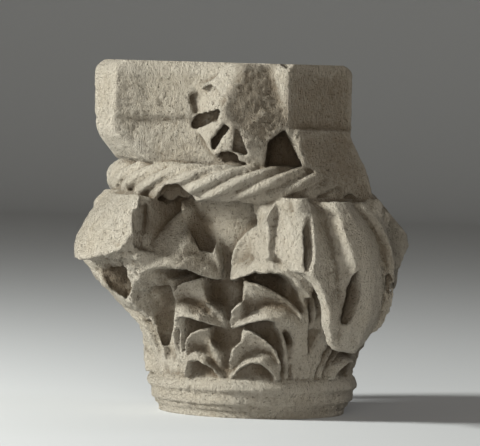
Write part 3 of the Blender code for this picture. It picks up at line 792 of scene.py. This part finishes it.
def bumps(size, detail, start, stretch=(1, 1, 1), lean=(0, 0, 0)):
    """Noise between -1 and 1 whose features are about as large as the size."""
    leaned = add_node(wear_tree, "ShaderNodeVectorRotate", {"Vector": place, "Rotation": lean}, rotation_type="EULER_XYZ")
    drawn = add_node(wear_tree, "ShaderNodeVectorMath", {0: leaned.outputs[0], 1: stretch}, operation="MULTIPLY").outputs[0]
    moved = add_node(wear_tree, "ShaderNodeVectorMath", {0: drawn, 1: start}, operation="ADD").outputs[0]
    often = worked(wear_tree, "DIVIDE", 1.0, size)
    noise = add_node(wear_tree, "ShaderNodeTexNoise", {"Vector": moved, "Scale": often, "Detail": detail, "Roughness": 0.6})
    return worked(wear_tree, "MULTIPLY_ADD", noise.outputs[0], 4.0, -2.0)


def where_marked(name):
    found = add_node(wear_tree, "GeometryNodeInputNamedAttribute", {"Name": name}, data_type="FLOAT")
    return found.outputs["Attribute"]


lumpy = worked(wear_tree, "MULTIPLY", bumps(given["Lump Size"], 2.0, (11, 22, 5)), given["Lump Height"])
grainy = worked(wear_tree, "MULTIPLY", bumps(given["Grain Size"], 3.0, (37, 4, 61)), given["Grain Height"])
pitted = bumps(given["Pit Size"], 2.0, (71, 9, 33))
pit = add_node(wear_tree, "ShaderNodeMapRange", {0: pitted, 1: 0.45, 2: 0.9, 3: 0.0, 4: 1.0}, clamp=True).outputs[0]
pits = worked(wear_tree, "MULTIPLY", pit, given["Pit Depth"])
rough = worked(wear_tree, "MULTIPLY", bumps(given["Break Size"], 4.0, (3, 57, 91)), given["Break Height"])
rough = worked(wear_tree, "MULTIPLY", rough, where_marked("broken"))
strokes = bumps(given["Stroke Width"], 1.0, (13, 8, 2), (1.0, 1.0, 0.22), (0, math.radians(-38), 0))
strokes = worked(wear_tree, "MULTIPLY", strokes, given["Stroke Depth"])
strokes = worked(wear_tree, "MULTIPLY", strokes, where_marked("tooled"))
push = worked(wear_tree, "ADD", worked(wear_tree, "SUBTRACT", worked(wear_tree, "ADD", lumpy, grainy), pits), rough)
push = worked(wear_tree, "ADD", push, strokes)
facing = add_node(wear_tree, "GeometryNodeInputNormal").outputs[0]
offset = add_node(wear_tree, "ShaderNodeVectorMath", {0: facing, "Scale": push}, operation="SCALE").outputs[0]
worn = add_node(wear_tree, "GeometryNodeSetPosition", {"Geometry": given["Geometry"], "Offset": offset}).outputs[0]
whole = add_node(wear_tree, "GeometryNodeRealizeInstances", {"Geometry": worn}).outputs[0]
worn_stone = add_node(wear_tree, "GeometryNodeSetMaterial", {"Geometry": whole, "Material": given["Material"]})
add_node(wear_tree, "NodeGroupOutput", {"Geometry": worn_stone.outputs[0]})
weather = capital.modifiers.new("weathering", "NODES")
weather.node_group = wear_tree
for label, value in WEAR_SIZES.items():
    weather[wear_inputs[label]] = value
capital = settle(capital)

# The finished block. Thinned, rid of crumbs that the cuts have left loose, cut flat above and below as the
# beds are, and kept in the solid's box.
MOST_TRIANGLES = 194000
thin = capital.modifiers.new("thin", "DECIMATE")
thin.ratio = min(1.0, MOST_TRIANGLES / (2 * len(capital.data.polygons)))
capital = settle(capital)
form = bmesh.new()
form.from_mesh(capital.data)
bpy.data.objects.remove(capital)
unseen = set(form.verts)
pieces = []
while unseen:
    piece = set()
    reached = [unseen.pop()]
    while reached:
        vert = reached.pop()
        piece.add(vert)
        beside = [edge.other_vert(vert) for edge in vert.link_edges]
        fresh = [other for other in beside if other in unseen]
        unseen.difference_update(fresh)
        reached.extend(fresh)
    pieces.append(piece)
block = max(pieces, key=len)
crumbs = [vert for vert in form.verts if vert not in block]
bmesh.ops.delete(form, geom=crumbs, context="VERTS")
for height, up in ((0.0, -1), (HEIGHT, 1)):
    cut = bmesh.ops.bisect_plane(
        form, geom=form.verts[:] + form.edges[:] + form.faces[:], plane_co=(0, 0, height),
        plane_no=(0, 0, up), clear_outer=True,
    )
    rim = [item for item in cut["geom_cut"] if isinstance(item, bmesh.types.BMEdge)]
    bmesh.ops.holes_fill(form, edges=rim, sides=0)
bmesh.ops.scale(form, vec=Vector((MM, MM, MM)), verts=form.verts)
bmesh.ops.triangulate(form, faces=form.faces[:])
bmesh.ops.recalc_face_normals(form, faces=form.faces)
for vert in form.verts:
    for axis in range(3):
        vert.co[axis] = min(max(vert.co[axis], cad_low[axis]), cad_high[axis])
for face in form.faces:
    heights = [vert.co.z for vert in face.verts]
    face.smooth = max(heights) > 0.01 * MM and min(heights) < (HEIGHT - 0.01) * MM
mesh = bpy.data.meshes.new("capital")
form.to_mesh(mesh)
form.free()
capital = shown("carved_capital", mesh)

# how deep each point lies among its neighbours, and how little of the open air it sees, for the painted shade
count = len(mesh.vertices)
points = np.empty(count * 3)
mesh.vertices.foreach_get("co", points)
points = points.reshape(-1, 3)
normals = np.empty(count * 3)
mesh.vertex_normals.foreach_get("vector", normals)
normals = normals.reshape(-1, 3)
ends = np.empty(len(mesh.edges) * 2, dtype=np.int64)
mesh.edges.foreach_get("vertices", ends)
ends = ends.reshape(-1, 2)
neighbours = np.maximum(np.bincount(ends.ravel(), minlength=count), 1)[:, None]


def neighbour_sum(values):
    """For each point, the sum of the values at the points that edges join to it."""
    one_way = np.bincount(ends[:, 0], values[ends[:, 1]], count)
    return one_way + np.bincount(ends[:, 1], values[ends[:, 0]], count)


DEEPEST = 2.2 * MM
SPREAD_STEPS = 24
BLEND_STEPS = 3
LIFT_OFF = 0.0006
GOLDEN_TURN = 2.399963
smooth = points.copy()
for _ in range(SPREAD_STEPS):
    near = [neighbour_sum(smooth[:, axis]) for axis in range(3)]
    smooth = smooth * 0.4 + 0.6 * np.stack(near, -1) / neighbours
set_share(mesh, "hollow", np.clip(((smooth - points) * normals).sum(-1) / DEEPEST, -1, 1))
LOOKS = 9
SHELTER_REACH = 0.07
form = bmesh.new()
form.from_mesh(mesh)
walls = BVHTree.FromBMesh(form)
form.free()
blocked = np.zeros(count)
for k in range(LOOKS):
    lift = (k + 0.5) / LOOKS
    spin = k * GOLDEN_TURN
    aside = math.sqrt(1 - lift * lift)
    way = Vector((aside * math.cos(spin), aside * math.sin(spin), lift))
    for index in range(count):
        normal = Vector(normals[index])
        aim = normal.to_track_quat("Z", "Y") @ way
        hit = walls.ray_cast(Vector(points[index]) + normal * LIFT_OFF, aim, SHELTER_REACH)
        blocked[index] += hit[0] is not None
occlusion_shade = blocked / LOOKS
for _ in range(BLEND_STEPS):
    occlusion_shade = occlusion_shade * 0.4 + 0.6 * neighbour_sum(occlusion_shade) / neighbours[:, 0]
set_share(mesh, "occlusion_shade", occlusion_shade)

# The stone. A warm cream limestone with dark pores a millimetre or two across, paler on its edges and
# ridges, and darkened with painted shade in its hollows and creases and on the dressed breaks.
stone = bpy.data.materials.new("weathered limestone")
stone.use_nodes = True
nodes = stone.node_tree
nodes.nodes.clear()
coords = add_node(nodes, "ShaderNodeTexCoord").outputs["Object"]
depth = add_node(nodes, "ShaderNodeAttribute", attribute_name="hollow").outputs["Fac"]
occlusion_shade = add_node(nodes, "ShaderNodeAttribute", attribute_name="occlusion_shade").outputs["Fac"]
dressed = add_node(nodes, "ShaderNodeAttribute", attribute_name="tooled").outputs["Fac"]
shade_spots = add_node(nodes, "ShaderNodeAttribute", attribute_name="shade_spots").outputs["Fac"]
grain_way = add_node(nodes, "ShaderNodeMapping", {"Vector": coords, "Scale": (1.0, 1.0, 0.55)}).outputs[0]


def stone_noise(scale, detail=3.0, rough=0.6, way=coords):
    sizes = {"Vector": way, "Scale": scale, "Detail": detail, "Roughness": rough}
    return add_node(nodes, "ShaderNodeTexNoise", sizes).outputs[0]


def ramp(value, low, high, to_low=0.0, to_high=1.0):
    return add_node(nodes, "ShaderNodeMapRange", {0: value, 1: low, 2: high, 3: to_low, 4: to_high}, clamp=True).outputs[0]


def tint(share, a, b):
    return add_node(nodes, "ShaderNodeMix", {0: share, 6: a, 7: b}, data_type="RGBA").outputs[2]


CREAM = (0.60, 0.53, 0.42, 1)
PALE = (0.70, 0.64, 0.54, 1)
BROWN = (0.46, 0.385, 0.285, 1)
STAIN = (0.36, 0.29, 0.205, 1)
# dark brown for the pores, and for the painted shade in hollows, creases and on the dressed breaks
DIRT_AND_SHADE = (0.17, 0.12, 0.07, 1)
colour = tint(ramp(stone_noise(14.0, 4.0), 0.35, 0.65), CREAM, PALE)
colour = tint(ramp(stone_noise(60.0, 4.0), 0.5, 0.72, 0.0, 0.5), colour, BROWN)
fine = stone_noise(380.0, 4.0, 0.8, grain_way)
colour = tint(ramp(fine, 0.38, 0.62, 0.0, 0.5), colour, PALE)
colour = tint(ramp(stone_noise(240.0, 4.0, 0.8, grain_way), 0.5, 0.72, 0.0, 0.6), colour, STAIN)
pores = ramp(stone_noise(430.0, 1.0, 0.5), 0.63, 0.72)
colour = tint(worked(nodes, "MULTIPLY", pores, 0.5), colour, DIRT_AND_SHADE)
# painted shade: the dressed breaks are darkened in colour
colour = tint(worked(nodes, "MULTIPLY", dressed, 0.55), colour, DIRT_AND_SHADE)
# painted shade: hollows and creases are darkened in colour; the next line makes edges and ridges paler
colour = tint(ramp(depth, 0.25, 1.0, 0.0, 0.6), colour, DIRT_AND_SHADE)
colour = tint(ramp(depth, -0.15, -0.8, 0.0, 0.35), colour, PALE)
# painted shade: points that see little open air are darkened in colour
colour = tint(ramp(occlusion_shade, 0.6, 1.0, 0.0, 0.75), colour, DIRT_AND_SHADE)
# painted shade: the listed dark hollows are darkened in colour where they are also sheltered
spot_shade = worked(nodes, "MULTIPLY", shade_spots, ramp(occlusion_shade, 0.22, 0.5, 0.0, 0.7))
colour = tint(spot_shade, colour, DIRT_AND_SHADE)
relief = worked(nodes, "MULTIPLY_ADD", pores, -1.0, worked(nodes, "MULTIPLY", fine, 2.4))
bump = add_node(nodes, "ShaderNodeBump", {"Strength": 1.0, "Distance": 0.0065, "Height": relief}).outputs[0]
surface = add_node(
    nodes, "ShaderNodeBsdfPrincipled",
    {"Base Color": colour, "Roughness": 0.92, "Specular IOR Level": 0.2, "Normal": bump},
)
add_node(nodes, "ShaderNodeOutputMaterial", {"Surface": surface.outputs[0]})
mesh.materials.clear()
mesh.materials.append(stone)
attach(capital, "root")
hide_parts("capital")

# The floor. A wide pale sheet that curves up into a plain backdrop.
CAMERA_BEARING = 15.0
SWEEP_START = 5.0
SWEEP_R = 1.2
bend = [
    (SWEEP_START + SWEEP_R * math.sin(a), SWEEP_R - SWEEP_R * math.cos(a)) for a in np.linspace(0.1, math.pi / 2, 12)
]
profile = [(-7.0, 0.0), (SWEEP_START, 0.0), *bend, (SWEEP_START + SWEEP_R, 4.0)]
floor_points = [tuple(placed(CAMERA_BEARING, -back, side, z)) for side in (-7.0, 7.0) for back, z in profile]
many = len(profile)
floor_faces = [(i, many + i, many + i + 1, i + 1) for i in range(many - 1)]
floor_mesh = bpy.data.meshes.new("floor")
floor_mesh.from_pydata(floor_points, [], floor_faces)
for face in floor_mesh.polygons:
    face.use_smooth = True
floor = shown("floor", floor_mesh)
paper = bpy.data.materials.new("pale backdrop")
paper.use_nodes = True
paper.node_tree.nodes["Principled BSDF"].inputs["Base Color"].default_value = (0.55, 0.56, 0.57, 1)
paper.node_tree.nodes["Principled BSDF"].inputs["Roughness"].default_value = 0.95
floor_mesh.materials.append(paper)
floor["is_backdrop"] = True


# The light. One soft lamp rakes across from the left, a wide one fills in from the camera, a weak one lifts
# the right flank, and the room is dim.
def lamp(name, azimuth, elevation, distance, size, watts, tone):
    data = bpy.data.lights.new(name, "AREA")
    data.size = size
    data.energy = watts
    data.color = tone
    obj = bpy.data.objects.new(name, data)
    bpy.context.scene.collection.objects.link(obj)
    a, e = math.radians(CAMERA_BEARING + azimuth), math.radians(elevation)
    way = Vector((math.sin(a) * math.cos(e), -math.cos(a) * math.cos(e), math.sin(e)))
    obj.location = way * distance + Vector((0, 0, 0.18))
    obj.rotation_euler = way.to_track_quat("Z", "Y").to_euler()


lamp("key", -76, 24, 2.6, 0.5, 138, (0.98, 1.0, 0.96))
lamp("fill", -4, 4, 3.2, 1.3, 47, (1.0, 0.95, 0.86))
lamp("rim", 112, 30, 2.6, 0.8, 9, (0.97, 0.98, 1.0))
world = bpy.data.worlds.new("room")
world.use_nodes = True
world.node_tree.nodes["Background"].inputs[0].default_value = (0.90, 0.82, 0.72, 1)
world.node_tree.nodes["Background"].inputs[1].default_value = 0.10
bpy.context.scene.world = world
bpy.context.scene.view_settings.view_transform = "Standard"

# The camera. Level with the slab's top, four metres off, a little to the right of the front face, and
# tipped a degree or two.
turn = math.radians(CAMERA_BEARING)
toward = Vector((math.sin(turn), -math.cos(turn), 0))
right = Vector((math.cos(turn), math.sin(turn), 0))
camera_data = bpy.data.cameras.new("camera")
camera_data.lens = 300
camera_data.sensor_width = 36
camera_data.clip_end = 40
camera = bpy.data.objects.new("camera", camera_data)
bpy.context.scene.collection.objects.link(camera)
aside = right * -0.0165
eye = toward * 4.0 + Vector((0, 0, 0.345)) + aside
back = (eye - Vector((0, 0, 0.188)) - aside).normalized()
up = back.cross(right).normalized()
look = Matrix((right, up, back)).transposed().to_4x4()
camera.matrix_world = Matrix.Translation(eye) @ look @ Matrix.Rotation(math.radians(1.6), 4, "Z")
bpy.context.scene.camera = camera

low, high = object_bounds()
